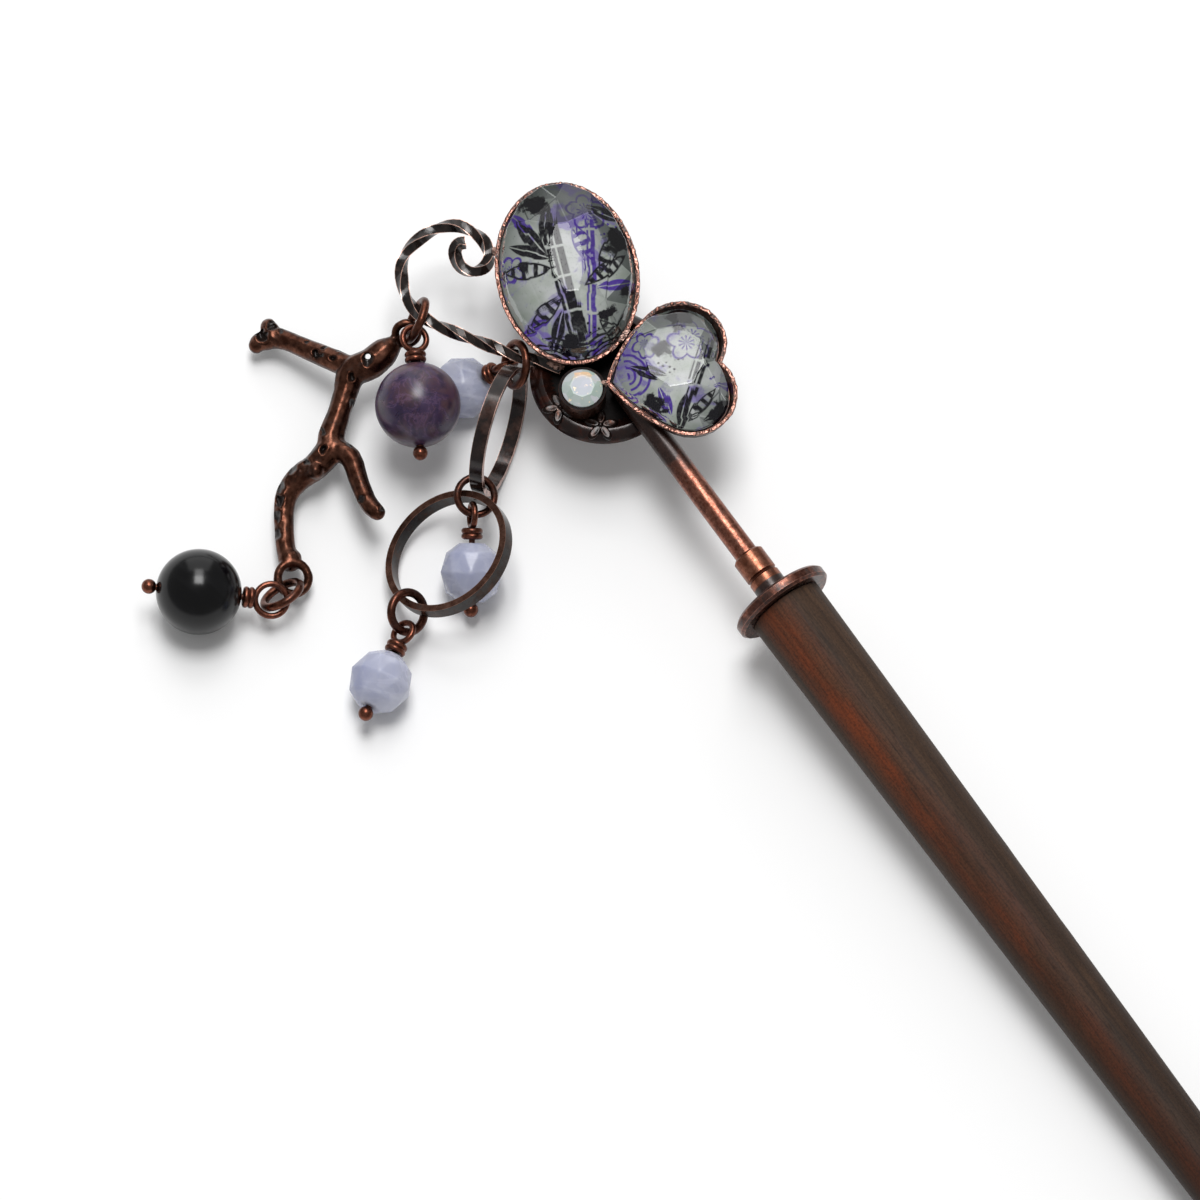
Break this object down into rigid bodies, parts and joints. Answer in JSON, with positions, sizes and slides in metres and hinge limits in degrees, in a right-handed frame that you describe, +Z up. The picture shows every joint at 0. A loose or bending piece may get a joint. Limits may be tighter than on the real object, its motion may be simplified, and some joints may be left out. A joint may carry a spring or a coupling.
{
  "type": "kanzashi hair stick",
  "caption": "Tapered wooden hair stick with a flange, a soldered copper head with faceted oval and heart stones and a wire scroll, and lying drops of beads, hoops and a coral branch.",
  "frame": {"origin": "middle of the bottom of the box round the lying piece, on the surface that it lies on", "axes": "+X along the stick, from head to tip; +Z up from the surface; the drops lie towards -Y"},
  "size_m": [0.1788, 0.058, 0.0147],
  "materials": {
    "dark_wood": "satin oiled dark wood with a reddish streak",
    "antique_copper": "antiqued copper, dark in the hollows and bright on worn edges",
    "dark_copper": "nearly black antiqued copper with worn edges",
    "printed_paper": "printed paper, cream and grey with black and purple",
    "clear_glass": "clear faceted glass",
    "milky_glass": "milky faceted stone with warm glints",
    "purple_stone": "polished dark purple stone with pale and brown veins",
    "black_stone": "polished black stone",
    "blue_stone": "polished pale blue translucent stone, faceted"
  },
  "bodies": {
    "root": {"stick": "dark_wood", "flange": "antique_copper", "collar": "antique_copper", "head_setting": "antique_copper", "oval_print": "printed_paper", "oval_stone": "clear_glass", "heart_print": "printed_paper", "heart_stone": "clear_glass", "opal_stone": "milky_glass", "ring_left": "antique_copper", "coral_branch": "antique_copper", "purple_bead": "purple_stone", "purple_pin": "antique_copper", "charm_ring": "antique_copper", "black_bead": "black_stone", "black_pin": "antique_copper", "ring_right": "antique_copper", "blue_bead_a": "blue_stone", "blue_pin_a": "antique_copper", "hoop_upper": "dark_copper", "hoop_ring": "dark_copper", "blue_bead_b": "blue_stone", "blue_pin_b": "antique_copper", "hoop_lower": "dark_copper", "lower_ring": "dark_copper", "blue_bead_c": "blue_stone", "blue_pin_c": "antique_copper"}
  },
  "joints": []
}
